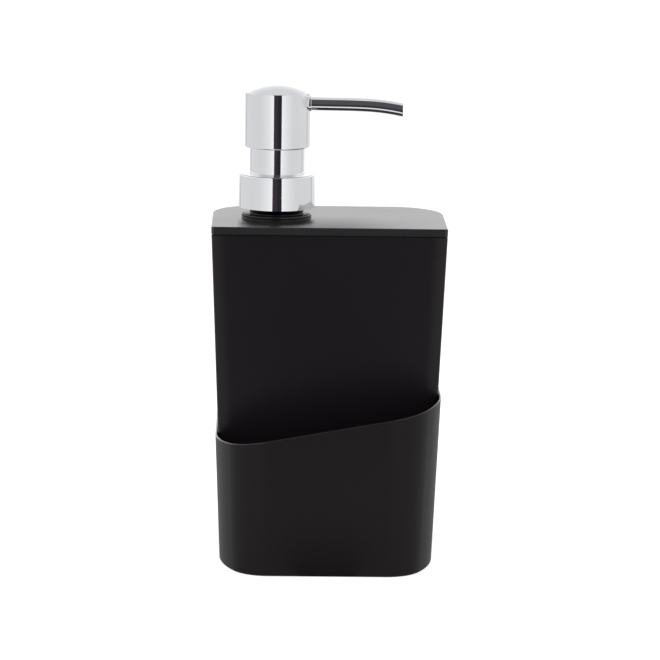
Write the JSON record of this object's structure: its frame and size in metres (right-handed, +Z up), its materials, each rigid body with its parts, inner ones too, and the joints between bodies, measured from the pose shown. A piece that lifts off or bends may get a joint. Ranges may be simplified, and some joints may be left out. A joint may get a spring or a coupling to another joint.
{
  "type": "soap pump caddy",
  "caption": "Tapered cup with a slanted rim that holds a flat-fronted soap bottle, a sponge slot in front, and a metal lotion pump with a long spout on the bottle's lid.",
  "frame": {"origin": "on the table, at the middle of the non-slip pad's underside, under the middle of the cup's plan", "axes": "+Z up, -Y towards the sponge slot and the flat front of the bottle, +X to the right seen from the front, the side that the rim rises to"},
  "size_m": [0.1026, 0.1023, 0.2059],
  "materials": {
    "cup_plastic": "fine satin grain, warm near-black",
    "pad_rubber": "matte non-slip sheet",
    "bottle_plastic": "smooth satin, near-black",
    "lid_plastic": "semi-gloss, near-black",
    "seal_rubber": "matte",
    "bright_metal": "mirror-bright plated metal",
    "closure_plastic": "smooth black moulding",
    "pump_plastic": "smooth white moulding",
    "piston_plastic": "soft natural moulding",
    "tube_plastic": "milky translucent extrusion",
    "ball_steel": "polished bearing ball",
    "spring_steel": "drawn stainless wire"
  },
  "bodies": {
    "caddy": {"caddy_cup": "cup_plastic", "base_pad": "pad_rubber"},
    "bottle": {"bottle_body": "bottle_plastic", "bottle_lid": "lid_plastic", "lid_seal": "seal_rubber"},
    "pump": {"pump_housing": "pump_plastic", "housing_cap": "pump_plastic", "dip_tube": "tube_plastic", "ball_cage": "pump_plastic", "return_spring": "spring_steel", "neck_gasket": "seal_rubber"},
    "collar": {"collar_shell": "bright_metal", "closure_insert": "closure_plastic", "guide_sleeve": "bright_metal"},
    "plunger": {"piston": "piston_plastic"},
    "head": {"stem": "pump_plastic", "stem_foot": "pump_plastic", "head_core": "pump_plastic", "head_shell": "bright_metal", "spout_ferrule": "bright_metal", "spout_tube": "bright_metal"},
    "inlet_valve": {"inlet_ball": "ball_steel"},
    "outlet_valve": {"outlet_ball": "ball_steel"}
  },
  "joints": [
    {"name": "bottle_lift", "type": "slide", "parent": "caddy", "child": "bottle", "axis": [0, 0, 1], "range_m": [0, 0.08]},
    {"name": "pump_raise", "type": "slide", "parent": "bottle", "child": "pump", "axis": [0, 0, 1], "range_m": [0, 0.00478]},
    {"name": "collar_turn", "type": "hinge", "parent": "pump", "child": "collar", "pos_m": [-0.02305, 0.01888, 0.1588], "axis": [0, 0, 1], "range_deg": [0, 540]},
    {"name": "head_press", "type": "slide", "parent": "pump", "child": "plunger", "axis": [0, 0, -1], "range_m": [0, 0.011], "stiffness_N_per_m": 900, "springref_m": -0.006, "deforming": ["return_spring"]},
    {"name": "head_swivel", "type": "hinge", "parent": "plunger", "child": "head", "pos_m": [-0.02305, 0.01888, 0.19], "axis": [0, 0, 1], "continuous": true},
    {"name": "inlet_ball_lift", "type": "slide", "parent": "pump", "child": "inlet_valve", "axis": [0, 0, 1], "range_m": [0, 0.0013]},
    {"name": "outlet_ball_lift", "type": "slide", "parent": "head", "child": "outlet_valve", "axis": [0, 0, 1], "range_m": [0, 0.0013]}
  ],
  "couplings": [
    {"joint": "pump_raise", "follows": "collar_turn", "m_per_rad": 0.00050611}
  ]
}
